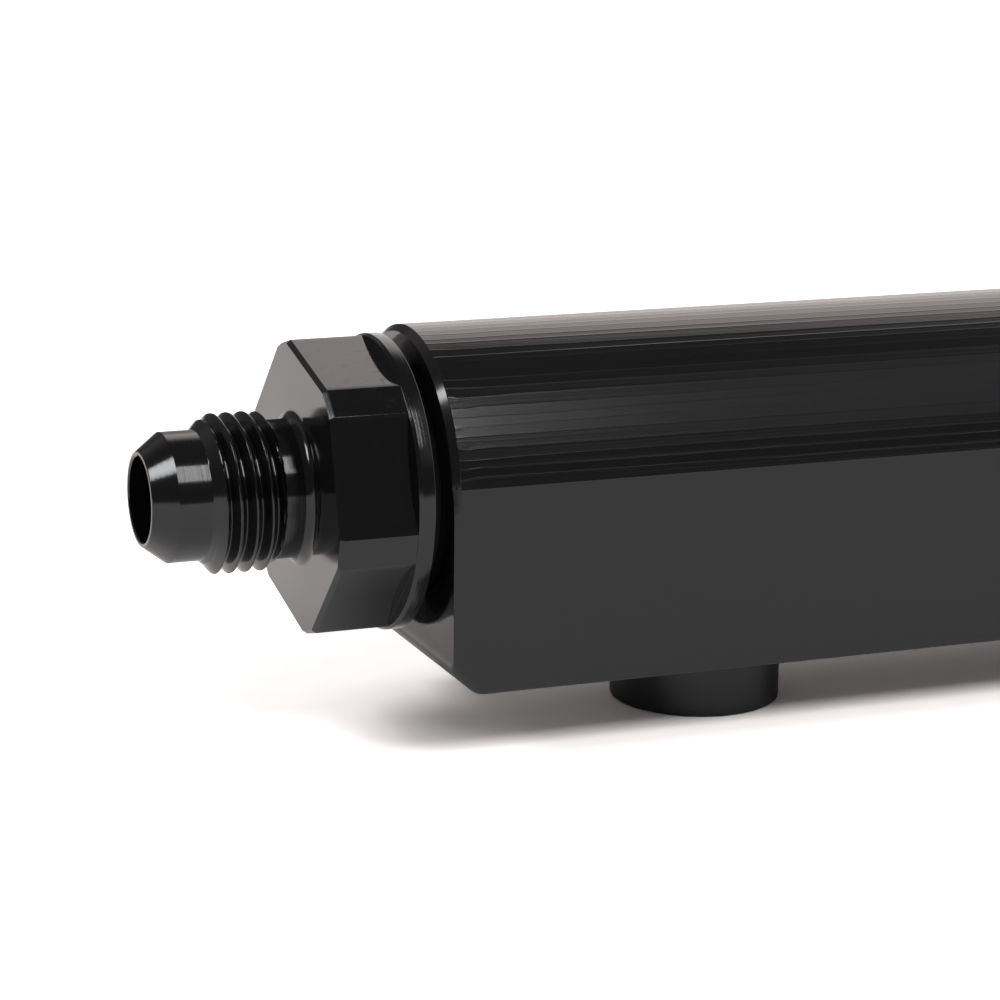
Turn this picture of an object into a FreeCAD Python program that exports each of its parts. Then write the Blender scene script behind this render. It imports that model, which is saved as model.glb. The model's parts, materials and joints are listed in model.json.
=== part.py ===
"""Billet fuel rail with a flare adapter and its sealing ring at each end.

Frame: +X runs along the rail, -Y is the flat side that faces the viewer, +Z is up.
The origin is under the middle of the rail, on the surface that its bosses stand on.
All sizes are in millimetres.
"""
import FreeCAD, Part
import math
import os
from types import SimpleNamespace

import Sketcher

SIZES = {
    # Rail section, from the fuel gallery's axis
    "top_radius": 14.0,
    "crease_height": 2.0,
    "underside_depth": 16.6,
    # Rail length
    "end_to_injector": 30.0,
    "injector_pitch": 94.0,
    "injector_count": 4,
    # Broken and rounded edges of the rail
    "top_end_chamfer": 0.6,
    "corner_chamfer": 2.3,
    "corner_round": 1.0,
    "long_edge_break": 0.45,
    "end_edge_break": 0.2,
    # Injector bosses and their stepped bores
    "boss_radius": 8.0,
    "boss_height": 6.4,
    "boss_edge": 0.3,
    "injector_radius": 5.5,
    "injector_depth": 13.0,
    "injector_mouth": 0.8,
    "feed_radius": 3.5,
    # Fuel gallery and the tapped holes that take the mounting brackets
    "gallery_radius": 7.0,
    "bracket_hole_radius": 2.5,
    "bracket_hole_depth": 7.5,
    # Sealing ring, and the port that it seals
    "ring_section": 1.1,
    "ring_seat_radius": 8.2,
    "ring_clearance": 0.15,
    "ring_seat_gap": 0.02,
    "port_seat_depth": 2.5,
    "port_seat_angle": 12.0,
    "port_thread_length": 14.5,
    "thread_clearance": 0.05,
    # Adapter, the end inside the rail
    "port_thread_radius": 9.5,
    "adapter_insertion": 12.0,
    "ring_groove_reach": 2.3,
    # Adapter, collar and hex
    "collar_gap": 1.07,
    "collar_radius": 13.32,
    "collar_width": 1.55,
    "collar_edge": 0.3,
    "hex_across_flats": 24.0,
    "hex_across_cut_corners": 26.08,
    "hex_length": 7.05,
    "hex_bevel_depth": 0.43,
    "hex_bevel_inset": 0.3,
    "inlet_hex_turn": 15.8,
    "outlet_hex_turn": 4.0,
    # Adapter, flare end
    "neck_radius": 6.1,
    "neck_length": 2.9,
    "flare_thread_radius": 7.1,
    "flare_thread_length": 6.3,
    "flare_plain_radius": 5.78,
    "flare_plain_length": 2.9,
    "flare_angle": 37.0,
    "nose_radius": 4.22,
    "flow_bore_radius": 3.8,
}

DRILL_POINT_ANGLE = 118.0
HEX_SIDES = 6
RING_SECTION_SIDES = 6
TOLERANCE = 1e-4


class Size:
    """A length with its value and the sheet expression that it is bound to."""

    def __init__(self, value, text):
        self.value = value
        self.text = text

    def __add__(self, other):
        other = as_size(other)
        return Size(self.value + other.value, "(%s + %s)" % (self.text, other.text))

    def __sub__(self, other):
        other = as_size(other)
        return Size(self.value - other.value, "(%s - %s)" % (self.text, other.text))

    def __mul__(self, other):
        other = as_size(other)
        return Size(self.value * other.value, "(%s * %s)" % (self.text, other.text))

    def __truediv__(self, other):
        other = as_size(other)
        return Size(self.value / other.value, "(%s / %s)" % (self.text, other.text))

    def __neg__(self):
        return Size(-self.value, "(-1 * %s)" % self.text)


def as_size(number):
    """A plain number as a size, so that both can stand in one sum."""
    if isinstance(number, Size):
        return number
    return Size(float(number), "%.9g" % number)


def root(size):
    """Square root of a size."""
    return Size(math.sqrt(size.value), "sqrt(%s)" % size.text)


def slope(degrees):
    """Tangent of an angle in degrees."""
    return Size(math.tan(math.radians(degrees.value)), "tan(%s * 1 deg)" % degrees.text)


def fill_sheet(document):
    """Writes the driving sizes into the spreadsheet and returns them by name."""
    sheet = document.addObject("Spreadsheet::Sheet", "Sizes")
    for row, (name, value) in enumerate(SIZES.items(), start=1):
        sheet.set("A%d" % row, name)
        sheet.set("B%d" % row, str(value))
        sheet.setAlias("B%d" % row, name)
    document.recompute()
    return SimpleNamespace(**{name: Size(value, "Sizes." + name) for name, value in SIZES.items()})


def add_body(document, label):
    """An empty body for one piece."""
    body = document.addObject("PartDesign::Body", label)
    body.Label = label
    return body


def add_sketch(body, label, role, shift=(), turn=None):
    """A sketch on one of the body's own planes, moved and turned within that plane's frame."""
    sketch = body.newObject("Sketcher::SketchObject", label)
    plane = [item for item in body.Origin.OriginFeatures if item.Role == role][0]
    sketch.AttachmentSupport = [(plane, "")]
    sketch.MapMode = "FlatFace"
    for axis, distance in shift:
        sketch.setExpression("AttachmentOffset.Base.%s" % axis, distance.text)
    if turn is not None:
        sketch.AttachmentOffset = FreeCAD.Placement(
            FreeCAD.Vector(), FreeCAD.Rotation(FreeCAD.Vector(0, 0, 1), turn.value))
        sketch.setExpression("AttachmentOffset.Rotation.Angle", turn.text)
    return sketch


def hold(sketch, kind, edge, position, size):
    """Holds one coordinate of a point to a size, or to the axis where it is nought."""
    if isinstance(size, Size):
        index = sketch.addConstraint(
            Sketcher.Constraint(kind, -1, 1, edge, position, size.value))
        sketch.setExpression("Constraints[%d]" % index, size.text)
    else:
        axis = -2 if kind == "DistanceX" else -1
        sketch.addConstraint(Sketcher.Constraint("PointOnObject", edge, position, axis))


def draw_outline(sketch, corners):
    """A closed outline of straight lines through corners, each coordinate bound."""
    plain = [tuple(getattr(c, "value", c) for c in corner) for corner in corners]
    first = sketch.GeometryCount
    count = len(corners)
    for index in range(count):
        start = FreeCAD.Vector(*plain[index], 0)
        end = FreeCAD.Vector(*plain[(index + 1) % count], 0)
        sketch.addGeometry(Part.LineSegment(start, end))
    for index in range(count):
        following = first + (index + 1) % count
        sketch.addConstraint(Sketcher.Constraint("Coincident", first + index, 2, following, 1))
    for index, (across, upward) in enumerate(corners):
        hold(sketch, "DistanceX", first + index, 1, across)
        hold(sketch, "DistanceY", first + index, 1, upward)


def draw_circle(sketch, radius):
    """A circle about the sketch's origin."""
    sketch.addGeometry(Part.Circle(FreeCAD.Vector(), FreeCAD.Vector(0, 0, 1), radius.value))
    sketch.addConstraint(Sketcher.Constraint("Coincident", 0, 3, -1, 1))
    index = sketch.addConstraint(Sketcher.Constraint("Radius", 0, radius.value))
    sketch.setExpression("Constraints[%d]" % index, radius.text)


def extrude(body, label, kind, sketch, length, middle=False):
    """A pad or a pocket of a sketch."""
    feature = body.newObject("PartDesign::" + kind, label)
    feature.Profile = sketch
    feature.Midplane = middle
    feature.setExpression("Length", length.text)
    body.Document.recompute()
    return feature


def turn_profile(body, label, kind, corners, axis, shift=(), sweep=None):
    """A revolution or a groove of an outline drawn on the body's upright plane."""
    sketch = add_sketch(body, label + "Profile", "XZ_Plane", shift)
    draw_outline(sketch, corners)
    feature = body.newObject("PartDesign::" + kind, label)
    feature.Profile = sketch
    feature.ReferenceAxis = (sketch, [axis])
    if sweep is None:
        feature.Angle = 360
    else:
        feature.Midplane = True
        feature.setExpression("Angle", sweep)
    body.Document.recompute()
    return feature


def mirror_ends(body, label, feature):
    """Repeats a feature at the rail's other end."""
    mirrored = body.newObject("PartDesign::Mirrored", label)
    mirrored.Originals = [feature]
    plane = [item for item in body.Origin.OriginFeatures if item.Role == "YZ_Plane"][0]
    mirrored.MirrorPlane = (plane, [""])
    body.Tip = mirrored
    body.Document.recompute()
    return mirrored


def edges_where(shape, wanted):
    """Names of the edges that meet a test."""
    return ["Edge%d" % number for number, edge in enumerate(shape.Edges, start=1) if wanted(edge)]


def dress(body, label, kind, base, edges, size):
    """A fillet or a chamfer on chosen edges of the last feature."""
    feature = body.newObject("PartDesign::" + kind, label)
    feature.Base = (base, edges)
    feature.setExpression("Radius" if kind == "Fillet" else "Size", size.text)
    body.Document.recompute()
    return feature


def near(value, target):
    """True where two coordinates are the same within the model's tolerance."""
    return abs(value - target) < TOLERANCE


def is_line(edge):
    """True for a straight edge."""
    return isinstance(edge.Curve, Part.Line)


def lies_along(edge, direction):
    """True for a straight edge that runs along a unit direction."""
    return is_line(edge) and near(abs(edge.tangentAt(edge.FirstParameter).dot(direction)), 1)


def build_rail(document, size, plan):
    """The rail: one billet with its bosses, gallery, ports and tapped holes."""
    body = add_body(document, "rail_body")
    body.setExpression("Placement.Base.z", plan.axis_height.text)
    along = FreeCAD.Vector(1, 0, 0)
    across = FreeCAD.Vector(0, 1, 0)
    upright = FreeCAD.Vector(0, 0, 1)

    section = add_sketch(body, "FlatSidedSection", "YZ_Plane")
    draw_outline(section, [
        (-plan.half_width, -size.underside_depth),
        (plan.half_width, -size.underside_depth),
        (plan.half_width, size.crease_height),
        (-plan.half_width, size.crease_height),
    ])
    block = extrude(body, "FlatSidedBlock", "Pad", section, plan.length, middle=True)

    end = plan.length.value / 2
    floor = -size.underside_depth.value
    corner = dress(body, "EndCorners", "Chamfer", block, edges_where(
        block.Shape, lambda edge: lies_along(edge, across) and near(edge.CenterOfMass.z, floor)),
        size.corner_chamfer)
    bend = end - size.corner_chamfer.value
    rounded = dress(body, "EndCornerRounds", "Fillet", corner, edges_where(
        corner.Shape, lambda edge: lies_along(edge, across)
        and near(edge.CenterOfMass.z, floor) and near(abs(edge.CenterOfMass.x), bend)),
        size.corner_round)
    long_edges = dress(body, "LongEdgeBreaks", "Chamfer", rounded, edges_where(
        rounded.Shape, lambda edge: lies_along(edge, along) and near(edge.CenterOfMass.z, floor)),
        size.long_edge_break)
    dress(body, "EndEdgeBreaks", "Chamfer", long_edges, edges_where(
        long_edges.Shape, lambda edge: lies_along(edge, upright)
        and near(abs(edge.CenterOfMass.x), end)),
        size.end_edge_break)

    half = plan.length / 2
    turn_profile(body, "RoundTop", "Revolution", [
        (-half, 0),
        (half, 0),
        (half, size.top_radius - size.top_end_chamfer),
        (half - size.top_end_chamfer, size.top_radius),
        (-half + size.top_end_chamfer, size.top_radius),
        (-half, size.top_radius - size.top_end_chamfer),
    ], "H_Axis", sweep="2 * acos(%s / %s)" % (size.crease_height.text, size.top_radius.text))

    add_bosses(body, size, plan)
    add_gallery(body, size, plan)
    add_bracket_holes(body, size, plan)
    return body


def add_bosses(body, size, plan):
    """Injector bosses under the rail, each with its stepped bore up to the gallery."""
    foot = -plan.axis_height
    first = (("x", size.end_to_injector - plan.length / 2),)
    boss = turn_profile(body, "InjectorBoss", "Revolution", [
        (0, -size.underside_depth),
        (0, foot),
        (size.boss_radius - size.boss_edge, foot),
        (size.boss_radius, foot + size.boss_edge),
        (size.boss_radius, -size.underside_depth),
    ], "V_Axis", shift=first)
    shoulder = foot + size.injector_depth
    bore = turn_profile(body, "InjectorBore", "Groove", [
        (0, 0),
        (0, foot),
        (size.injector_radius + size.injector_mouth, foot),
        (size.injector_radius, foot + size.injector_mouth),
        (size.injector_radius, shoulder),
        (size.feed_radius, shoulder),
        (size.feed_radius, 0),
    ], "V_Axis", shift=first)
    row = body.newObject("PartDesign::LinearPattern", "InjectorRow")
    row.Originals = [boss, bore]
    direction = [item for item in body.Origin.OriginFeatures if item.Role == "X_Axis"][0]
    row.Direction = (direction, [""])
    row.setExpression("Length", (size.injector_pitch * (size.injector_count - 1)).text)
    row.setExpression("Occurrences", size.injector_count.text)
    body.Tip = row
    body.Document.recompute()


def add_gallery(body, size, plan):
    """The fuel gallery from end to end, and a threaded port with a ring seat at each end."""
    sketch = add_sketch(body, "GallerySection", "YZ_Plane")
    draw_circle(sketch, size.gallery_radius)
    extrude(body, "Gallery", "Pocket", sketch, plan.length, middle=True)
    face = plan.length / 2
    seat_floor = face - size.port_seat_depth
    seat_end_radius = plan.port_mouth_radius - size.port_seat_depth * slope(size.port_seat_angle)
    thread_end = face - size.port_thread_length
    port = turn_profile(body, "Port", "Groove", [
        (thread_end - (plan.port_radius - size.gallery_radius) / plan.drill_slope, 0),
        (thread_end - (plan.port_radius - size.gallery_radius) / plan.drill_slope,
         size.gallery_radius),
        (thread_end, plan.port_radius),
        (seat_floor, plan.port_radius),
        (seat_floor, seat_end_radius),
        (face, plan.port_mouth_radius),
        (face, 0),
    ], "H_Axis")
    mirror_ends(body, "PortPair", port)


def add_bracket_holes(body, size, plan):
    """Blind tapped holes in the underside, midway between the outer pairs of bosses."""
    floor = -size.underside_depth
    drilled = floor + size.bracket_hole_depth
    hole = turn_profile(body, "BracketHole", "Groove", [
        (0, drilled + size.bracket_hole_radius / plan.drill_slope),
        (0, floor),
        (size.bracket_hole_radius, floor),
        (size.bracket_hole_radius, drilled),
    ], "V_Axis", shift=(("x", plan.bracket_offset),))
    mirror_ends(body, "BracketHolePair", hole)


def draw_cut_hexagon(sketch, size):
    """A hexagon whose corners are milled flat, so it has six wide and six narrow sides."""
    apothem = size.hex_across_flats / 2
    half_flat = size.hex_across_cut_corners - size.hex_across_flats * math.cos(math.pi / HEX_SIDES)
    corners = []
    for side in range(HEX_SIDES):
        angle = 2 * math.pi * side / HEX_SIDES
        for hand in (-1, 1):
            across = apothem * math.cos(angle) - half_flat * (hand * math.sin(angle))
            upward = apothem * math.sin(angle) + half_flat * (hand * math.cos(angle))
            corners.append((across, upward))
    draw_outline(sketch, corners)


def build_adapter(document, size, plan, label, hex_turn):
    """A flare adapter, drawn with +X outwards from the rail's end face."""
    body = add_body(document, label)
    collar_face = size.collar_gap + size.collar_width
    hex_face = collar_face + size.hex_length
    thread_start = hex_face + size.neck_length
    thread_end = thread_start + size.flare_thread_length
    cone_start = thread_end + size.flare_plain_length
    nose = cone_start + (size.flare_plain_radius - size.nose_radius) / slope(size.flare_angle)
    inner_end = -size.adapter_insertion

    turn_profile(body, "TurnedForm", "Revolution", [
        (inner_end, 0),
        (inner_end, size.port_thread_radius),
        (-size.ring_groove_reach, size.port_thread_radius),
        (-size.ring_groove_reach, size.ring_seat_radius),
        (size.collar_gap, size.ring_seat_radius),
        (size.collar_gap, size.collar_radius),
        (collar_face - size.collar_edge, size.collar_radius),
        (collar_face, size.collar_radius - size.collar_edge),
        (collar_face, size.neck_radius),
        (thread_start, size.neck_radius),
        (thread_start + (size.flare_thread_radius - size.neck_radius), size.flare_thread_radius),
        (thread_end - (size.flare_thread_radius - size.flare_plain_radius),
         size.flare_thread_radius),
        (thread_end, size.flare_plain_radius),
        (cone_start, size.flare_plain_radius),
        (nose, size.nose_radius),
        (nose, 0),
    ], "H_Axis")

    hex_start = size.collar_gap + size.collar_width / 2
    bevel_start = hex_face - size.hex_bevel_depth
    section = add_sketch(body, "HexSection", "YZ_Plane", (("z", hex_start),), hex_turn)
    draw_cut_hexagon(section, size)
    extrude(body, "Hex", "Pad", section, bevel_start - hex_start)
    section = add_sketch(body, "HexBevelSection", "YZ_Plane", (("z", bevel_start),), hex_turn)
    draw_cut_hexagon(section, size)
    bevel = extrude(body, "HexBevel", "Pad", section, size.hex_bevel_depth)
    bevel.setExpression("TaperAngle", "-atan(%s / %s)" % (
        size.hex_bevel_inset.text, size.hex_bevel_depth.text))
    document.recompute()

    turn_profile(body, "FlowBore", "Groove", [
        (inner_end, 0),
        (inner_end, size.flow_bore_radius),
        (nose, size.flow_bore_radius),
        (nose, 0),
    ], "H_Axis")
    return body


def build_ring(document, size, plan, label):
    """A sealing ring about X; few sides on its section keep it light."""
    ring = add_body(document, label)
    corners = []
    for side in range(RING_SECTION_SIDES):
        angle = 2 * math.pi * side / RING_SECTION_SIDES
        corners.append((size.ring_section * math.cos(angle),
                        plan.ring_radius + size.ring_section * math.sin(angle)))
    turn_profile(ring, "Ring", "Revolution", corners, "H_Axis")
    return ring


def place_at_end(piece, plan, side, outward):
    """Puts a piece on the gallery's axis, outward of one end face; side is -1 or 1."""
    if side < 0:
        about_face = FreeCAD.Rotation(FreeCAD.Vector(0, 0, 1), 180)
        piece.Placement = FreeCAD.Placement(FreeCAD.Vector(), about_face)
    position = (plan.length / 2 + outward) * side
    piece.setExpression("Placement.Base.x", position.text)
    piece.setExpression("Placement.Base.z", plan.axis_height.text)


def make_plan(size):
    """Sizes that follow from the driving ones."""
    spacings = size.injector_count - 1
    ring_radius = size.ring_seat_radius + size.ring_seat_gap + size.ring_section
    return SimpleNamespace(
        length=size.end_to_injector * 2 + size.injector_pitch * spacings,
        half_width=root(size.top_radius * size.top_radius
                        - size.crease_height * size.crease_height),
        axis_height=size.underside_depth + size.boss_height,
        bracket_offset=size.injector_pitch * (spacings - 1) / 2,
        port_radius=size.port_thread_radius + size.thread_clearance,
        ring_radius=ring_radius,
        port_mouth_radius=ring_radius + size.ring_section + size.ring_clearance,
        drill_slope=slope(as_size(DRILL_POINT_ANGLE / 2)),
    )


def check_objects(document, pieces):
    """Stops if any feature failed or any piece isn't one sound solid."""
    for item in document.Objects:
        if "Invalid" in item.State or "Error" in item.State:
            raise RuntimeError("%s failed: %s" % (item.Label, item.State))
    for piece in pieces:
        shape = piece.Shape
        if shape.isNull() or not shape.isValid() or len(shape.Solids) != 1:
            raise RuntimeError("%s isn't one sound solid" % piece.Label)


def build():
    """Builds every piece and writes each to its own STEP file."""
    document = FreeCAD.newDocument("FuelRail")
    size = fill_sheet(document)
    plan = make_plan(size)
    ring_outward = size.collar_gap - size.ring_seat_gap - size.ring_section

    pieces = [build_rail(document, size, plan)]
    for name, side, hex_turn in (
            ("inlet", -1, size.inlet_hex_turn), ("outlet", 1, size.outlet_hex_turn)):
        adapter = build_adapter(document, size, plan, name + "_fitting", hex_turn)
        place_at_end(adapter, plan, side, as_size(0))
        ring = build_ring(document, size, plan, name + "_o_ring")
        place_at_end(ring, plan, side, ring_outward)
        pieces += [adapter, ring]

    document.recompute()
    check_objects(document, pieces)
    os.makedirs("parts", exist_ok=True)
    for piece in pieces:
        piece.Shape.exportStep("parts/%s.step" % piece.Label)
        box = piece.Shape.BoundBox
        print("%-15s volume %9.1f mm3, x %8.2f to %7.2f, y %7.2f to %6.2f, z %6.2f to %6.2f" % (
            piece.Label, piece.Shape.Volume,
            box.XMin, box.XMax, box.YMin, box.YMax, box.ZMin, box.ZMax))


build()
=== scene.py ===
# %% [markdown]
# # A billet fuel rail and its flare fittings
# A fuel rail is a long bar of black anodised aluminium with a gallery drilled through it. Fuel enters
# through a flare fitting at one end, and four injectors hang in the bosses underneath. The solids come
# from the CAD model. This lesson builds the surfaces that the eye sees, in the same frame, and lights
# them.

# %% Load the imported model
import json
import math

import bmesh
import bpy
import numpy as np
from mathutils import Matrix, Vector

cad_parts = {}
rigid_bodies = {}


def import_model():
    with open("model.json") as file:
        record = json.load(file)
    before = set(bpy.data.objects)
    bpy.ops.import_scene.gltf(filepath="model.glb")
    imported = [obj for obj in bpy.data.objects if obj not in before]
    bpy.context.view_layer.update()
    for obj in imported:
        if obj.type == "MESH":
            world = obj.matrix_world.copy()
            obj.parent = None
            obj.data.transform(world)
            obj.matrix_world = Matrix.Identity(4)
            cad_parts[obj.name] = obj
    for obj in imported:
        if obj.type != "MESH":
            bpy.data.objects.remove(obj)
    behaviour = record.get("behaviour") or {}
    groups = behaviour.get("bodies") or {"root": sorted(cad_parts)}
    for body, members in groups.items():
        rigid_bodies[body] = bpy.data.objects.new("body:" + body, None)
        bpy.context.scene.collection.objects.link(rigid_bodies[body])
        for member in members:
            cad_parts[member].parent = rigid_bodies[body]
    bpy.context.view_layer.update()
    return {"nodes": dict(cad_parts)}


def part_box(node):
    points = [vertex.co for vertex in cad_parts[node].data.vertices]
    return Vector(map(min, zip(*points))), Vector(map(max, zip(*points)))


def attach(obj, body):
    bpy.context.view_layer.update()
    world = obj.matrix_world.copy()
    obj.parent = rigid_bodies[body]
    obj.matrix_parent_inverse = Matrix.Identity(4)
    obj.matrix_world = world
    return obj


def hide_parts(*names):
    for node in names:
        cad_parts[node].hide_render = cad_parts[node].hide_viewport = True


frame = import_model()
MM = 0.001
_, rail_high = (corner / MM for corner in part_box("rail_body"))
END = rail_high.x
print("solids:", sorted(frame["nodes"]), "rail half length", round(END, 2), "mm")

# %% [markdown]
# ## The camera
# Black parts show little but their outline and what they reflect, so the camera comes before any
# surface. A long lens stands to the left and looks a little down on the fitting.

# %% Set the camera
FOCAL_PIXELS = 3142.93
IMAGE_PIXELS = 1000
SENSOR_WIDTH = 36.0
CAMERA_PLACE = Vector((-263.675, -259.167, 87.644)) * MM
yaw, tilt, roll = (math.radians(a) for a in (21.609, 13.575, 0.687))
forward = Vector((math.sin(yaw) * math.cos(tilt), math.cos(yaw) * math.cos(tilt), -math.sin(tilt)))
level = Vector((math.cos(yaw), -math.sin(yaw), 0))
upright = level.cross(forward)
camera_right = level * math.cos(roll) + upright * math.sin(roll)
camera_up = upright * math.cos(roll) - level * math.sin(roll)

lens = bpy.data.cameras.new("long_lens")
lens.sensor_width = SENSOR_WIDTH
lens.lens = FOCAL_PIXELS * SENSOR_WIDTH / IMAGE_PIXELS
lens.clip_start, lens.clip_end = 0.01, 20
camera = bpy.data.objects.new("camera", lens)
turned = Matrix((camera_right, camera_up, -forward)).transposed()
camera.matrix_world = Matrix.Translation(CAMERA_PLACE) @ turned.to_4x4()
bpy.context.scene.collection.objects.link(camera)
bpy.context.scene.camera = camera
bpy.context.scene.view_settings.view_transform = "Standard"
print("lens", round(lens.lens, 1), "mm")

# %% [markdown]
# ## Sums written as sums
# A node tree is easier to read as arithmetic than as boxes. This class wraps one output socket: `+`,
# `-`, `*` and `/` add Math nodes, and `node` adds any other node. The same class serves the materials
# and the thread's geometry tree, because both use the same Math node.


# %% Wrap a socket
class Wire:
    """One output socket of a node tree."""

    def __init__(self, tree, socket=None):
        self.tree, self.socket = tree, socket

    def node(self, kind, settings=None, inputs=None, output=0):
        """Adds a node: its settings first, then the values or links of its sockets."""
        made = self.tree.nodes.new(kind)
        for name, value in (settings or {}).items():
            setattr(made, name, value)
        for name, value in (inputs or {}).items():
            if isinstance(value, Wire):
                self.tree.links.new(value.socket, made.inputs[name])
            else:
                made.inputs[name].default_value = value
        return Wire(self.tree, made.outputs[output])

    def sum_with(self, operation, *values):
        return self.node("ShaderNodeMath", {"operation": operation}, dict(enumerate(values)))

    def __add__(self, other):
        return self.sum_with("ADD", self, other)

    __radd__ = __add__

    def __sub__(self, other):
        return self.sum_with("SUBTRACT", self, other)

    def __rsub__(self, other):
        return self.sum_with("SUBTRACT", other, self)

    def __mul__(self, other):
        return self.sum_with("MULTIPLY", self, other)

    __rmul__ = __mul__

    def __truediv__(self, other):
        return self.sum_with("DIVIDE", self, other)

    def __rtruediv__(self, other):
        return self.sum_with("DIVIDE", other, self)

    def step(self, low, high):
        """0 below low, 1 above high, and a smooth rise in between."""
        return self.node("ShaderNodeMapRange", {"interpolation_type": "SMOOTHSTEP"},
                         {"Value": self, "From Min": low, "From Max": high})


def split(vector):
    """The three numbers of a vector socket."""
    x = vector.node("ShaderNodeSeparateXYZ", None, {0: vector}, "X")
    parts = x.socket.node.outputs
    return [Wire(vector.tree, parts[name]) for name in "XYZ"]


def joined(x, y, z=0.0):
    """Three numbers, at least one of them a socket, as a vector."""
    first = next(part for part in (x, y, z) if isinstance(part, Wire))
    return first.node("ShaderNodeCombineXYZ", None, {"X": x, "Y": y, "Z": z}, "Vector")


# %% [markdown]
# ## Black anodising
# Anodising grows a clear, hard oxide on the aluminium and dyes it. What shows is a very dark body under
# a glossy skin with an index of 1.75, so nearly all the light is reflection, and the finish is made by
# its roughness and its fine relief. The rail's round top was cut by passes of a mill that run along it,
# so its height is a row of shallow scallops with a sharp ridge between two passes, no two alike, and
# near the end face, where the cutter settles, the ridges waver. The fitting was turned, so its height
# changes along its axis only, apart from the hex, whose milled flats carry a few scuffs. An image of
# scratches could do the same, but it would need unwrapping and would not follow a change of size.


# %% Start a finish
def start_finish(name):
    """An empty material and a wire to begin its sums from."""
    material = bpy.data.materials.new(name)
    material.use_nodes = True
    material.node_tree.nodes.clear()
    begin = Wire(material.node_tree)
    return material, begin, begin.node("ShaderNodeTexCoord", None, None, "Object")


def show(shader, output="ShaderNodeOutputMaterial"):
    """Links a shader to a new output node."""
    out = shader.tree.nodes.new(output)
    shader.tree.links.new(shader.socket, out.inputs["Surface"])


def end_finish(begin, colour, roughness, normal, index):
    """Feeds one Principled shader and shows it."""
    show(begin.node("ShaderNodeBsdfPrincipled", None, {
        "Base Color": colour, "Roughness": roughness, "Normal": normal, "IOR": index}))


def past(distance, where, blur=0.02):
    """1 where a distance in metres is past a place in millimetres, and 0 before it."""
    return distance.step((where - blur) * MM, (where + blur) * MM)


def noise(vector, scale, detail, roughness=0.5):
    """Fractal noise from 0 to 1 about a half."""
    return vector.node("ShaderNodeTexNoise", None, {
        "Vector": vector, "Scale": scale, "Detail": detail, "Roughness": roughness})


def shade(begin, factor, first, second, blend="MIX"):
    """Two colours mixed by a factor. Each is three numbers or a wire."""
    first, second = (c if isinstance(c, Wire) else (*c, 1.0) for c in (first, second))
    return begin.node("ShaderNodeMix", {"data_type": "RGBA", "blend_type": blend}, {
        "Factor": factor, 6: first, 7: second}, 2)


def bump(begin, height, distance, under=None):
    """A surface normal from a height between 0 and 1, with its depth in metres."""
    inputs = {"Height": height, "Distance": distance, "Strength": 1.0}
    if under is not None:
        inputs["Normal"] = under
    return begin.node("ShaderNodeBump", None, inputs)


# %% Finish of the rail
AXIS = 23.0
CREASE = 25.0
FACE = END - 0.35
END_BEVEL = 0.6
ROUND_RADIUS = 14.0
STEPOVER = 0.95
ANODISED_INDEX = 1.75

rail_black, w, place = start_finish("rail_black")
px, py, pz = split(place)
round_about = w.sum_with("ARCTAN2", pz - AXIS * MM, py) * ROUND_RADIUS
from_end = FACE * MM - w.sum_with("ABSOLUTE", px)
top = past(pz, CREASE)
bevel = top * (1.0 - past(from_end, END_BEVEL, 0.04))
polished = 1.0 - past(from_end, 0.02, 0.01) * (1.0 - bevel)
settle = w.sum_with("EXPONENT", from_end / (-2.4 * MM))
wander = noise(joined(px * 190.0, round_about * 0.6), 1.0, 2.0) - 0.5
drift = noise(joined(px * 7.0, round_about * 0.45), 1.0, 1.0)
passing = round_about / STEPOVER + wander * (settle * 1.6 + 0.12) + drift * 1.2
across = w.sum_with("FRACT", passing) * 2.0 - 1.0
uneven = noise(joined(px * 8.0, round_about * 1.3), 1.0, 2.0)
cusp = w.sum_with("POWER", across * across, 2.0)
passes = cusp * (0.35 + uneven * 1.20)
passes = passes + across * across * (0.15 + uneven * 0.25) + uneven * 0.3
fine = noise(joined(px * 24.0, passing * 6.0), 1.0, 2.0)
grain = noise(place, 5200.0, 2.0)
cloud = noise(place, 55.0, 3.0)
rough_top = top * (1.0 - polished)
tooling = bump(w, (passes + fine * 0.9) * rough_top, 12.5e-6)
tooling = bump(w, grain, 0.7e-6, tooling)
roughness = (0.38 - rough_top * 0.21) * (1.0 - polished) + polished * 0.11
roughness = roughness + (cloud - 0.5) * 0.04 + (grain - 0.5) * 0.04
dyed = shade(w, cloud, (0.0042, 0.0042, 0.0046), (0.0056, 0.0055, 0.0058))
end_finish(w, dyed, roughness, tooling, ANODISED_INDEX)
print("finish", rail_black.name, len(rail_black.node_tree.nodes), "nodes")

# %% Finish of the turned fittings
HEX_START = 2.62
HEX_END = 9.24

fitting_black, w, place = start_finish("fitting_black")
outward = w.sum_with("ABSOLUTE", split(place)[0]) - END * MM
on_hex = past(outward, HEX_START) * (1.0 - past(outward, HEX_END))
turning = noise(joined(outward * 7000.0, 0.0), 1.0, 3.0, 0.6)
wide_rings = noise(joined(outward * 2200.0, 0.0), 1.0, 1.0)
grain = noise(place, 3200.0, 3.0, 0.6)
smear = noise(place, 260.0, 2.0)
scuffs = noise(place, 1500.0, 4.0, 0.75).step(0.56, 0.68) * on_hex
skin = bump(w, (turning + wide_rings) * (1.0 - on_hex), 8.0e-6)
skin = bump(w, grain + scuffs * 2.0, 1.5e-6, skin)
roughness = 0.055 + smear * 0.04 + (1.0 - on_hex) * 0.05 + scuffs * 0.12 + (grain - 0.5) * 0.03
dyed = shade(w, smear, (0.0036, 0.0036, 0.0040), (0.0050, 0.0049, 0.0052))
end_finish(w, dyed, roughness, skin, ANODISED_INDEX)
print("finish", fitting_black.name, len(fitting_black.node_tree.nodes), "nodes")

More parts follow.
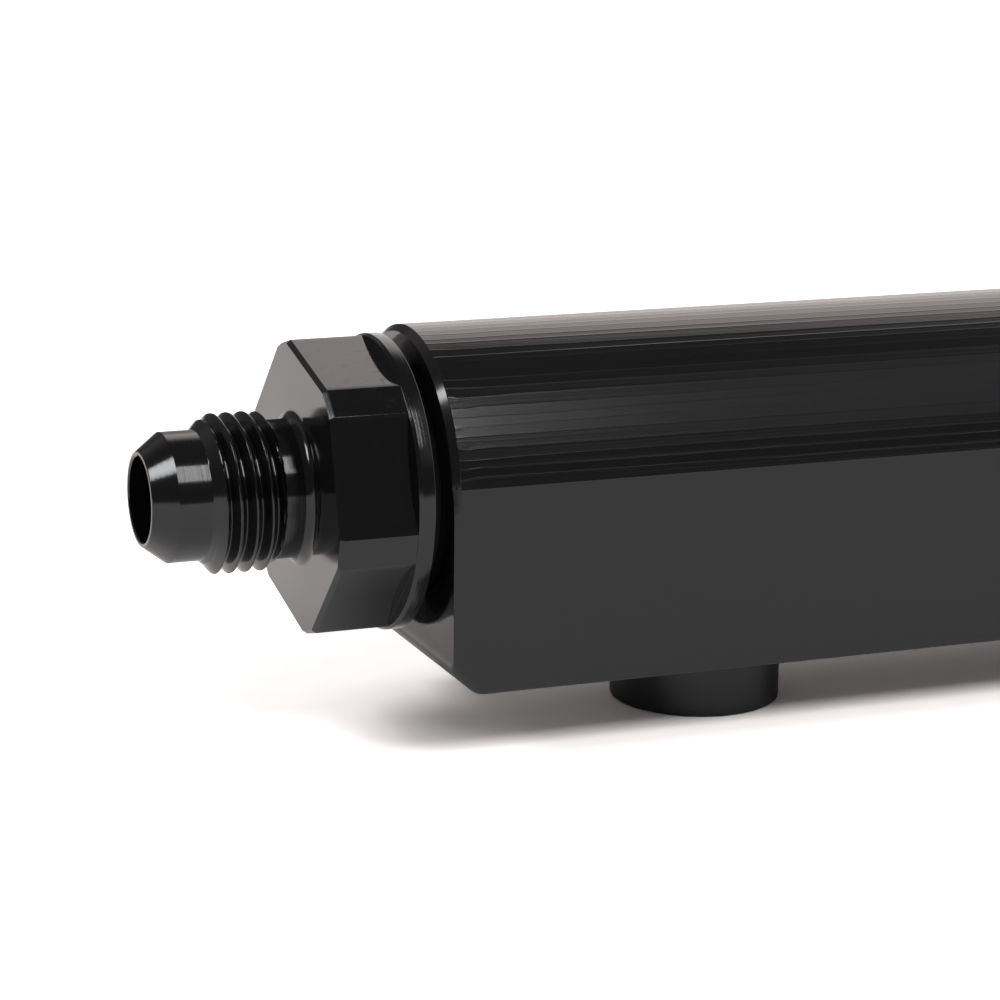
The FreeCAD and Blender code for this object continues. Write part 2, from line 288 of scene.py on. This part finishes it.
# %% Finish of the rings
ring_rubber, w, place = start_finish("ring_rubber")
bloom = noise(place, 900.0, 3.0)
pores = noise(place, 9000.0, 2.0)
dull = shade(w, bloom, (0.016, 0.016, 0.017), (0.030, 0.030, 0.031))
end_finish(w, dull, 0.5 + bloom * 0.2, bump(w, pores, 3.0e-6), 1.5)
print("finish", ring_rubber.name, len(ring_rubber.node_tree.nodes), "nodes")

# %% [markdown]
# ## From numbers to a mesh
# Everything here is either swept along the rail or turned about an axis, so one small helper turns
# rings of points into a skin, and another marks the creases. A box with a bevel modifier would also do
# for a bar, but rings give each edge its own measured size. Work is in millimetres, and a mesh is scaled
# to metres once, when it is finished.


# %% Mesh helpers
WELD = 2e-4


def skin_of(name, points, closed_rows=False):
    """A grid of points, rows by columns, as a mesh whose columns close on themselves."""
    rows, columns = points.shape[:2]
    corner = np.arange(rows * columns).reshape(rows, columns)
    if closed_rows:
        corner = np.vstack([corner, corner[:1]])
    a, b = corner[:-1], corner[1:]
    quads = np.stack([a, np.roll(a, -1, 1), np.roll(b, -1, 1), b], -1).reshape(-1, 4)
    mesh = bpy.data.meshes.new(name)
    mesh.from_pydata(points.reshape(-1, 3).tolist(), [], quads.tolist())
    return mesh


def finish_mesh(mesh, crease_angle):
    """Welds, turns the faces outwards, and creases every edge sharper than the angle at its place."""
    work = bmesh.new()
    work.from_mesh(mesh)
    bmesh.ops.remove_doubles(work, verts=work.verts, dist=WELD)
    bmesh.ops.dissolve_degenerate(work, dist=WELD, edges=work.edges)
    bmesh.ops.recalc_face_normals(work, faces=work.faces)
    open_edges = sum(not edge.is_manifold for edge in work.edges)
    for face in work.faces:
        face.smooth = True
    for edge in work.edges:
        middle = (edge.verts[0].co + edge.verts[1].co) / 2
        edge.smooth = edge.calc_face_angle(0) < math.radians(crease_angle(middle))
    work.to_mesh(mesh)
    work.free()
    return open_edges


def add_object(name, mesh, material):
    """An object at the origin that shows a mesh in one material."""
    made = bpy.data.objects.new(name, mesh)
    bpy.context.scene.collection.objects.link(made)
    mesh.materials.clear()
    mesh.materials.append(material)
    return made


def bake(thing, name):
    """The result of an object's modifiers as a plain mesh; the object goes away."""
    graph = bpy.context.evaluated_depsgraph_get()
    graph.update()
    mesh = bpy.data.meshes.new_from_object(thing.evaluated_get(graph))
    mesh.name = name
    bpy.data.objects.remove(thing)
    return mesh


def arc(centre, radius, start, stop, step):
    """Points of an arc in a profile, by angles in degrees."""
    count = max(2, int(math.ceil(abs(stop - start) / step)) + 1)
    angles = [math.radians(a) for a in np.linspace(start, stop, count)]
    return [(centre[0] + radius * math.cos(a), centre[1] + radius * math.sin(a)) for a in angles]


def lathe(name, profile, sides, axis="Z", at=(0, 0, 0)):
    """A profile of (along, radius) that starts and ends on the axis, turned about it."""
    turn = np.arange(sides) * 2 * math.pi / sides
    along, radius = np.array(profile).T[:, :, None]
    ring = [radius * np.cos(turn), radius * np.sin(turn), along + 0 * turn]
    order = {"Z": (0, 1, 2), "X": (2, 0, 1)}[axis]
    points = np.stack([ring[i] for i in order], -1) + np.array(at)
    mesh = skin_of(name, points)
    finish_mesh(mesh, lambda middle: 7.0)
    return mesh


# %% [markdown]
# ## The rail's skin
# The rail is one section pushed along X. Only near the ends does it change: the round top loses a wide
# bevel, the flats a narrow one, and the bottom corners are cut off at 45 degrees. So a row of sections,
# close together near the ends, makes the whole bar with few faces.

# %% Loft the rail
TOP_RADIUS = 13.967
HALF_WIDTH = math.sqrt(TOP_RADIUS ** 2 - (CREASE - AXIS) ** 2)
UNDERSIDE = 6.4
CORNER_CUT = 2.3
CORNER_BEND = 1.3
SIDE_BEVEL = 0.06
BEVEL_FADE = 3.0
LONG_ROUND = 0.45


def corner_rise(inset):
    """How high the cut corner is at a distance from the end face; both its bends are rounded."""
    tangent = CORNER_BEND * math.tan(math.pi / 8)
    if inset < tangent / math.sqrt(2):
        return CORNER_CUT + tangent - math.sqrt(CORNER_BEND ** 2 - (CORNER_BEND - inset) ** 2)
    if inset < CORNER_CUT - tangent / math.sqrt(2):
        return CORNER_CUT - inset
    if inset < CORNER_CUT + tangent:
        return CORNER_BEND - math.sqrt(CORNER_BEND ** 2 - (CORNER_CUT + tangent - inset) ** 2)
    return 0.0


def section(inset):
    """The rail's outline at a distance from its end face, from the lower back edge over the top."""
    bevel_top = max(0.0, END_BEVEL - inset)
    bevel_side = max(0.0, SIDE_BEVEL - inset)
    low = UNDERSIDE + corner_rise(inset)
    long_round = LONG_ROUND * (1 + max(0.0, min(1.0, (3.0 - inset) / 1.5)))
    foot = low + long_round
    heights = [foot, foot + 0.06] + list(np.linspace(foot + 0.8, CREASE, 23))
    points = []
    for z in heights[:-1]:
        blend = min(1.0, max(0.0, 1 + (z - CREASE) / BEVEL_FADE)) ** 2
        points.append((HALF_WIDTH - bevel_side * (1 - blend) - bevel_top * blend, z))
    start = math.degrees(math.asin((CREASE - AXIS) / TOP_RADIUS))
    over = arc((0, AXIS), TOP_RADIUS - bevel_top, start, 180 - start, 2.0)
    under = arc((HALF_WIDTH - bevel_side - long_round, foot), long_round, -90, 0, 15)[:-1]
    right = under + points
    return [(y, z) for y, z in right] + over + [(-y, z) for y, z in reversed(right)]


insets = [0, 0.03, SIDE_BEVEL, 0.12, 0.22, 0.38, END_BEVEL, 1.1, 1.6, 1.95, 2.1, 2.25, 2.4, 2.55,
          2.7, 2.84, 3.0, 4, 8, 20, 60, 110, FACE]
stations = [FACE - d for d in insets] + [-(FACE - d) for d in reversed(insets[:-1])]
loft = np.array([[(x, y, z) for y, z in section(FACE - abs(x))] for x in stations])
rail_mesh = skin_of("rail_skin", loft)
work = bmesh.new()
work.from_mesh(rail_mesh)
for x in (FACE, -FACE):
    rim = [v for v in work.verts if abs(v.co.x - x) < 1e-3]
    edges = [e for e in work.edges if e.verts[0] in rim and e.verts[1] in rim]
    bmesh.ops.holes_fill(work, edges=edges)
work.to_mesh(rail_mesh)
work.free()
print("rail section of", loft.shape[1], "points at", len(stations), "stations")

# %% [markdown]
# ## Bosses and bores in a row
# The four injector bosses are alike and evenly spaced, and so are their bores. A Geometry Nodes tree
# sets copies of one turned shape along a line. The count and the pitch are its inputs, so the same tree
# places the bosses, the bores and the bracket holes. The thread gets a tree of its own further on, so
# three helpers start a tree, end it, and bake what it makes.


# %% Start, end and run a tree
def start_tree(name, sockets):
    """A Geometry Nodes tree and a wire for each of its named inputs."""
    tree = bpy.data.node_groups.new(name, "GeometryNodeTree")
    for label, kind in {"Geometry": "Geometry", **sockets, "Material": "Material"}.items():
        tree.interface.new_socket(label, in_out="INPUT", socket_type="NodeSocket" + kind)
    tree.interface.new_socket("Geometry", in_out="OUTPUT", socket_type="NodeSocketGeometry")
    source = tree.nodes.new("NodeGroupInput")
    return tree, {socket.name: Wire(tree, socket) for socket in source.outputs if socket.name}


def end_tree(tree, given, made):
    """Ends in Realize Instances and Set Material."""
    whole = made.node("GeometryNodeRealizeInstances", None, {"Geometry": made})
    dressed = whole.node("GeometryNodeSetMaterial", None, {
        "Geometry": whole, "Material": given["Material"]})
    out = tree.nodes.new("NodeGroupOutput")
    tree.links.new(dressed.socket, out.inputs[0])
    return tree


def run_tree(mesh, tree, material, values):
    """What a tree makes of a mesh, with values for its named inputs, as a plain mesh."""
    carrier = add_object(mesh.name, mesh, material)
    nodes = carrier.modifiers.new(tree.name, "NODES")
    nodes.node_group = tree
    sockets = {s.name: s.identifier for s in tree.interface.items_tree if s.in_out == "INPUT"}
    for label, value in {**values, "Material": material}.items():
        nodes[sockets[label]] = value
    return bake(carrier, mesh.name)


# %% Build the tree that repeats along the rail
def row_tree():
    """Copies of the mesh along X, centred."""
    tree, given = start_tree("row_along_rail", {"Count": "Int", "Pitch": "Float"})
    first = joined((given["Count"] - 1.0) * given["Pitch"] * -0.5, 0.0)
    line = first.node("GeometryNodeMeshLine", None, {
        "Count": given["Count"], "Start Location": first, "Offset": joined(given["Pitch"], 0.0)})
    copies = line.node("GeometryNodeInstanceOnPoints", None, {
        "Points": line, "Instance": given["Geometry"]})
    return end_tree(tree, given, copies)


row = row_tree()
INJECTORS = 4
INJECTOR_PITCH = 94.0
BOSS = 8.0
BOSS_EDGE = 0.3
BOSS_FILLET = 0.35
rim, foot = BOSS - BOSS_EDGE, UNDERSIDE - BOSS_FILLET
boss = lathe("bosses", [
    (0, 0.0), (0, rim), *arc((BOSS_EDGE, rim), BOSS_EDGE, 180, 90, 15)[1:],
    (foot, BOSS), *arc((foot, BOSS + BOSS_FILLET), BOSS_FILLET, -90, 0, 15)[1:],
    (UNDERSIDE + 1.5, BOSS + BOSS_FILLET), (UNDERSIDE + 1.5, 0.0)], 128)
print("boss", len(boss.polygons), "faces")

# %% Shape the cutting tools
SOCKET = 5.5
SOCKET_DEPTH = 13
MOUTH = 0.8
FEED = 3.5
injector_bore = lathe("injector_bores", [
    (-1, 0.0), (-1, SOCKET + MOUTH), (0, SOCKET + MOUTH), (MOUTH, SOCKET), (SOCKET_DEPTH, SOCKET),
    (SOCKET_DEPTH, FEED), (20, FEED), (20, 0.0)], 96)

BRACKET_DRILL = 2.5
bracket_hole = lathe("bracket_holes", [
    (UNDERSIDE - 1, 0.0), (UNDERSIDE - 1, BRACKET_DRILL),
    (UNDERSIDE + 7.5, BRACKET_DRILL), (UNDERSIDE + 9.0, 0.0)], 64)

PORT_MOUTH = 10.57
PORT = 9.55
GALLERY = 7.0
port = [(END + 1, 0.0), (END + 1, PORT_MOUTH), (END, PORT_MOUTH), (END - 2.5, PORT_MOUTH - 0.531),
        (END - 2.5, PORT), (END - 14.5, PORT), (END - 16.03, GALLERY)]
far_port = [(-along, radius) for along, radius in reversed(port)]
gallery = lathe("gallery", port + far_port, 96, "X", (0, 0, AXIS))
print("tools:", injector_bore.name, bracket_hole.name, gallery.name)

# %% Join the bosses and cut the bores
bosses = run_tree(boss, row, rail_black, {"Count": INJECTORS, "Pitch": INJECTOR_PITCH})
injector_bores = run_tree(injector_bore, row, rail_black, {"Count": INJECTORS, "Pitch": INJECTOR_PITCH})
bracket_holes = run_tree(bracket_hole, row, rail_black, {"Count": 2, "Pitch": 2 * INJECTOR_PITCH})

solid = add_object("rail_solid", rail_mesh, rail_black)
for mesh, operation in ((bosses, "UNION"), (gallery, "DIFFERENCE"),
                        (injector_bores, "DIFFERENCE"), (bracket_holes, "DIFFERENCE")):
    tool = add_object(mesh.name + "_tool", mesh, rail_black)
    cut = solid.modifiers.new(mesh.name, "BOOLEAN")
    cut.operation, cut.solver, cut.object = operation, "EXACT", tool
rail_mesh = bake(solid, "rail")
for thing in [o for o in bpy.context.scene.objects if o.name.endswith("_tool")]:
    bpy.data.objects.remove(thing)
open_edges = finish_mesh(rail_mesh, lambda middle: 7.0 if middle.z > 20 else 20.0)
rail_mesh.transform(Matrix.Scale(MM, 4))
rail = add_object("billet_rail", rail_mesh, rail_black)
print("rail", len(rail_mesh.polygons), "faces,", open_edges, "open edges")

# %% [markdown]
# ## The flare thread
# A thread is a ridge wound round a cylinder, and its shape is one rule: how far a point is from the
# ridge line sets its radius. The sleeve's rows follow the helix, so the crest stays crisp, and a
# Geometry Nodes tree moves each point out to the radius that the rule gives. The two ends of the thread
# are cones, and the smaller radius wins.


# %% Build the thread's tree
THREAD_PITCH = 1.411
THREAD_START = 11.2
THREAD_END = 18.87
NECK = 6.2
NOSE = 5.78
FLANK_SLOPE = 1.732
THREAD = {"Pitch": THREAD_PITCH, "Crest at": 14.11 - THREAD_PITCH / 4, "Crest radius": 7.1,
          "Root radius": 6.13, "Rear at": 12.3, "Rear radius": NECK, "Rear slope": 1.4,
          "Front at": 18.8, "Front radius": NOSE, "Front slope": 1.1}


def thread_tree():
    """The radius of each point of a sleeve about X, in millimetres."""
    tree, given = start_tree("flare_thread", dict.fromkeys(THREAD, "Float"))
    begin = Wire(tree)
    x, y, z = split(begin.node("GeometryNodeInputPosition"))
    turns = begin.sum_with("ARCTAN2", z, y) / (2 * math.pi)
    phase = begin.sum_with("FRACT", (x - given["Crest at"]) / given["Pitch"] - turns + 100.5)
    off_crest = begin.sum_with("ABSOLUTE", phase - 0.5) * given["Pitch"]
    flank = given["Crest radius"] + 0.14 - off_crest * FLANK_SLOPE
    ridge = begin.sum_with("SMOOTH_MIN", flank, given["Crest radius"], 0.12)
    ridge = begin.sum_with("SMOOTH_MAX", ridge, given["Root radius"], 0.06)
    rear = given["Rear radius"] + (x - given["Rear at"]) * given["Rear slope"]
    front = given["Front radius"] + (given["Front at"] - x) * given["Front slope"]
    rear = begin.sum_with("MAXIMUM", rear, given["Rear radius"])
    front = begin.sum_with("MAXIMUM", front, given["Front radius"])
    radius = begin.sum_with("SMOOTH_MIN", ridge, rear, 0.1)
    radius = begin.sum_with("SMOOTH_MIN", radius, front, 0.1)
    past_neck = begin.sum_with("MAXIMUM", x - given["Rear at"], 0.0)
    radius = begin.sum_with("MAXIMUM", radius, given["Rear radius"] - past_neck * 0.5)
    moved = begin.node("GeometryNodeSetPosition", None, {
        "Geometry": given["Geometry"], "Position": joined(x, y * radius, z * radius)})
    return end_tree(tree, given, moved)


thread = thread_tree()
print("thread tree of", len(thread.nodes), "nodes")

# %% [markdown]
# ## The fitting
# The fitting is turned, apart from its hex, which is milled with its corners cut flat. Both are rings
# of points about the same axis: a turned ring has one radius, and a hex ring takes its radius from the
# nearest flat. The columns include the hex's corners, so its edges stay sharp.

# %% Choose the columns of the fitting
FLAT = 12.0
CUT_CORNER = 13.04


def columns(turn):
    """Angles about the axis, with a small round at each of the hex's twelve corners."""
    half_flat = 2 * CUT_CORNER - 2 * FLAT * math.cos(math.pi / 6)
    corner = math.degrees(math.atan(half_flat / FLAT))
    corners = [turn + 60 * k + s * corner for k in range(6) for s in (-1, 1)]
    plain = [a for a in np.arange(0, 360, 1.875)
             if all(abs((a - c + 180) % 360 - 180) > 0.9 for c in corners)]
    close = [c + d for c in corners for d in (-0.1, 0.0, 0.1)]
    return np.radians(np.sort(np.array(plain + close) % 360))


def hex_radius(angles, turn, inset):
    """Distance from the axis to the cut hexagon, its corners rounded a little."""
    wide = np.radians(turn + 60 * np.arange(6))[:, None]
    narrow = wide + math.pi / 6
    reach = np.vstack([(FLAT - inset) / np.maximum(0.2, np.cos(angles - wide)),
                       (CUT_CORNER - inset) / np.maximum(0.2, np.cos(angles - narrow))])
    nearest = np.sort(reach, 0)
    close = np.abs(nearest[0] - nearest[1]) < 1e-3
    return nearest[0] - np.where(close, 0.004, 0.0)


# %% Wind the thread
ROWS_PER_TURN = 32


def thread_mesh(name, angle):
    """A sleeve of radius 1 whose rows follow the helix, moved out to the thread by its tree."""
    turns = (THREAD_END - THREAD_START) / THREAD_PITCH
    steps = np.arange(-ROWS_PER_TURN, int(turns * ROWS_PER_TURN) + 2) / ROWS_PER_TURN
    around = np.append(angle, angle[0] + 2 * math.pi)
    along = THREAD_START + THREAD_PITCH * (steps[:, None] + around[None, :] / (2 * math.pi))
    along = np.clip(along, THREAD_START, THREAD_END)
    sleeve = np.stack([along, np.cos(around) + 0 * along, np.sin(around) + 0 * along], -1)
    index = np.arange(along.size).reshape(along.shape)
    quads = np.stack([index[:-1, :-1], index[:-1, 1:], index[1:, 1:], index[1:, :-1]], -1)
    mesh = bpy.data.meshes.new(name)
    mesh.from_pydata(sleeve.reshape(-1, 3).tolist(), [], quads.reshape(-1, 4).tolist())
    return run_tree(mesh, thread, fitting_black, THREAD)


# %% Turn the fitting
BORE = 3.8
COLLAR = 13.32
BEVEL_END = 9.67
NECK_FILLET = 0.95
REAR = [(-12, BORE), (-12, 9.0), (-11.5, 9.5), (-2.3, 9.5), (-2.3, 8.2), (1.07, 8.2), (1.07, 13.1),
        *arc((1.29, 13.1), 0.22, 180, 90, 15)[1:], (2.32, COLLAR), (HEX_START, 13.125)]
FLATS = [(HEX_START, 0.0), (HEX_END, 0.0), (BEVEL_END, 0.3)]
FRONT = [(BEVEL_END, NECK + NECK_FILLET),
         *arc((BEVEL_END + NECK_FILLET, NECK + NECK_FILLET), NECK_FILLET, 180, 270, 6)[1:],
         (10.65, NECK), (THREAD_START, NECK)]
FLARE = [(THREAD_END, NOSE), (21.77, NOSE), (23.77, 4.273), (23.84, 4.18), (23.84, 3.93),
         (23.72, BORE), (-12, BORE)]


def in_thread(middle):
    """Whether a place lies on the thread, whose edges are smooth up to a wider angle."""
    return THREAD_START + 0.1 < middle.x < THREAD_END - 0.07


def fitting_mesh(name, turn):
    """One fitting in its own frame: X outwards from the rail's end face."""
    angle = columns(turn)

    def ring(x, radius):
        return np.stack([0 * angle + x, radius * np.cos(angle), radius * np.sin(angle)], -1)

    body = [ring(x, radius) for x, radius in REAR]
    body += [ring(x, hex_radius(angle, turn, inset)) for x, inset in FLATS]
    body += [ring(x, radius) for x, radius in FRONT]
    flare = [ring(x, radius) for x, radius in FLARE]
    work = bmesh.new()
    for part in (skin_of(name + "_rear", np.array(body)), skin_of(name + "_front", np.array(flare)),
                 thread_mesh(name + "_thread", angle)):
        work.from_mesh(part)
    mesh = bpy.data.meshes.new(name)
    work.to_mesh(mesh)
    work.free()
    open_edges = finish_mesh(mesh, lambda middle: 30.0 if in_thread(middle) else 9.0)
    print(name, len(mesh.polygons), "faces,", open_edges, "open edges")
    return mesh


fittings = {}
for name, side, turn in (("inlet", -1, 15.8), ("outlet", 1, 4.0)):
    mesh = fitting_mesh(name + "_flare_fitting", turn)
    if side < 0:
        mesh.transform(Matrix.Rotation(math.pi, 4, "Z"))
    mesh.transform(Matrix.Scale(MM, 4) @ Matrix.Translation((side * END, 0, AXIS)))
    fittings[name] = add_object(name + "_flare_fitting", mesh, fitting_black)

# %% [markdown]
# ## The sealing rings
# A rubber ring sits in the gap behind each collar, squeezed into the chamfered seat of the port, and
# only a dark line of it can be seen. It is a circle turned about the rail's axis, a torus. Blender has
# one ready made, but turning the circle here puts it straight at its place on the rail. The solid ring
# has six sides on its section, which would show. This one is round, within the circle through their
# corners, so it stays clear of the collar and the seat. Rubber is matt, so its finish is rough, with
# faint bloom and pores.

# %% Turn the rings
RING_RADIUS = 9.32
CORD_RADIUS = 1.09
circle = np.linspace(0, 2 * math.pi, 29)[:-1, None]
turn = np.linspace(0, 2 * math.pi, 129)[:-1]
reach = RING_RADIUS + CORD_RADIUS * np.sin(circle)
rings = {}
for name, side in (("inlet", -1), ("outlet", 1)):
    middle = side * (END - 0.05)
    points = np.stack([middle + CORD_RADIUS * np.cos(circle) + 0 * reach * turn,
                       reach * np.cos(turn), AXIS + reach * np.sin(turn)], -1)
    mesh = skin_of(name + "_sealing_ring", points, closed_rows=True)
    finish_mesh(mesh, lambda middle: 40.0)
    mesh.transform(Matrix.Scale(MM, 4))
    rings[name] = add_object(name + "_sealing_ring", mesh, ring_rubber)
    print(mesh.name, len(mesh.polygons), "faces")

# %% [markdown]
# ## The studio
# The rail lies on a white table in front of a white sweep, in an otherwise dark room. A glossy black
# thing shows hardly anything but its surroundings, so these make the picture more than any colour does.
# The world is drawn as that room: bright behind, up to about 40 degrees and not far to the left, with a
# faint panel in front. Rays that only light things see a softer, plainer dome, and the camera sees
# white. A long lamp above and to the right of the camera makes the highlight along the turned parts,
# and a box at the left lights the nose's cone. Two fills light the table, and are hidden from
# reflections.

# %% Draw the room
world = bpy.data.worlds.new("studio")
bpy.context.scene.world = world
world.use_nodes = True
world.node_tree.nodes.clear()
w = Wire(world.node_tree)
dx, dy, dz = split(w.node("ShaderNodeTexCoord", None, None, "Generated"))
behind = (dx * 0.37 + dy * 0.93).step(-0.25, 0.35)
low = 1.0 - (dz - dx * 0.1).step(0.57, 0.79)
left_dim = 1.0 - (1.0 - dx.step(0.26, 0.34)) * (1.0 - dz.step(0.30, 0.50)) * 0.75
far_left = 1.0 - (1.0 - dx.step(0.02, 0.18)) * 0.88
panel = (0.0 - dy).step(0.02, 0.15) * dx.step(0.31, 0.36)
panel = panel * dz.step(0.30, 0.48) * (1.0 - dz.step(0.84, 0.93))
sweep = shade(w, behind * low * left_dim * far_left, (0.066, 0.067, 0.070), (1.22, 1.12, 1.08))
in_front = shade(w, panel, (0.0, 0.0, 0.0), (0.15, 0.15, 0.16))
reflected = shade(w, 1.0, sweep, in_front, "ADD")
soft = (dy * 0.87 - dx * 0.5).step(-0.1, 0.6) * low
dome = shade(w, soft, (0.19, 0.19, 0.19), (0.49, 0.48, 0.47))
glossy_ray = w.node("ShaderNodeLightPath", None, None, "Is Glossy Ray")
camera_ray = w.node("ShaderNodeLightPath", None, None, "Is Camera Ray")
seen = shade(w, camera_ray, shade(w, glossy_ray, dome, reflected), (1.0, 1.0, 1.0))
show(w.node("ShaderNodeBackground", None, {"Color": seen, "Strength": 1.0}),
     "ShaderNodeOutputWorld")
world.cycles.sampling_method = "NONE"

# %% Lay the table
HALF_TABLE = 2.5
UNDER_PARTS = -2e-5

table_white, w, place = start_finish("table_white")
tx, ty, _ = split(place)
streaks = noise(joined(tx * 260.0 + ty * 90.0, ty * 900.0), 1.0, 3.0, 0.6)
paper = shade(w, streaks.step(0.25, 0.75), (2.20, 2.09, 2.05), (2.30, 2.19, 2.15))
# Painted light: in reflections and in the light it bounces, the table is painted darker in front of the
# rail and brighter than white behind it.
painted_table_light = shade(w, ty.step(-0.012, 0.02), (0.71, 0.71, 0.72), (1.40, 1.31, 1.28))
camera_ray = w.node("ShaderNodeLightPath", None, None, "Is Camera Ray")
show(w.node("ShaderNodeBsdfDiffuse", None, {"Color": shade(w, camera_ray, painted_table_light, paper)}))
corners = [(-1, -1), (1, -1), (1, 1), (-1, 1)]
mesh = bpy.data.meshes.new("table")
mesh.from_pydata([(x * HALF_TABLE, y * HALF_TABLE, UNDER_PARTS) for x, y in corners], [],
                 [(0, 1, 2, 3)])
table = add_object("table", mesh, table_white)


# %% Hang the lamps
INLET_END = Vector((-0.15, 0, 0.02))


def hang(name, azimuth, elevation, distance, across, width, height, radiance, colour, mirrored=True):
    """A soft box aimed at the inlet end, its width along `across`. Azimuth runs from +Y towards +X."""
    a, e = math.radians(azimuth), math.radians(elevation)
    toward = Vector((math.sin(a) * math.cos(e), math.cos(a) * math.cos(e), math.sin(e)))
    lamp = bpy.data.lights.new(name, "AREA")
    lamp.shape, lamp.size, lamp.size_y = "RECTANGLE", width, height
    lamp.energy, lamp.color = radiance * math.pi * width * height, colour
    made = bpy.data.objects.new(name, lamp)
    side = (Vector(across) - toward * toward.dot(Vector(across))).normalized()
    aimed = Matrix((side, toward.cross(side), toward)).transposed()
    made.matrix_world = Matrix.Translation(INLET_END + toward * distance) @ aimed.to_4x4()
    made.visible_glossy = mirrored
    bpy.context.scene.collection.objects.link(made)
    share = radiance * width * height / distance ** 2 * math.sin(e) / math.pi
    print(name, round(lamp.energy, 2), "W, lights a level white sheet to", round(share, 2))


WHITE = (1.0, 1.0, 1.0)
hang("key_strip", 157.4, 50.0, 1.2, (1, 0, 0), 0.112, 0.60, 5.5, (1.0, 0.99, 0.98))
hang("left_box", 266, 41, 1.2, (0, 1, 0), 0.50, 0.24, 6.8, (0.96, 0.98, 1.0))
hang("left_fill", 290, 45, 1.5, (0, 1, 0), 0.50, 0.50, 6.0, WHITE, mirrored=False)
hang("front_fill", 150, 44, 1.5, (1, 0, 0), 1.20, 0.50, 5.0, WHITE, mirrored=False)

# %% [markdown]
# ## Back to the frame
# Each surface stands for one solid of the CAD model. It rides on the object's only body and replaces its
# solid wherever the object is shown. A rail could also be one
# joined mesh, but then a fitting or a ring couldn't be taken off.

# %% Tie the pieces to the frame
for piece, slot, nodes in ((rail, "rail_anodised", ["rail_body"]),
                           (fittings["inlet"], "adapter_anodised", ["inlet_fitting"]),
                           (fittings["outlet"], "adapter_anodised", ["outlet_fitting"]),
                           (rings["inlet"], "seal_rubber", ["inlet_o_ring"]),
                           (rings["outlet"], "seal_rubber", ["outlet_o_ring"])):
    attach(piece, "root")
    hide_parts(*nodes)
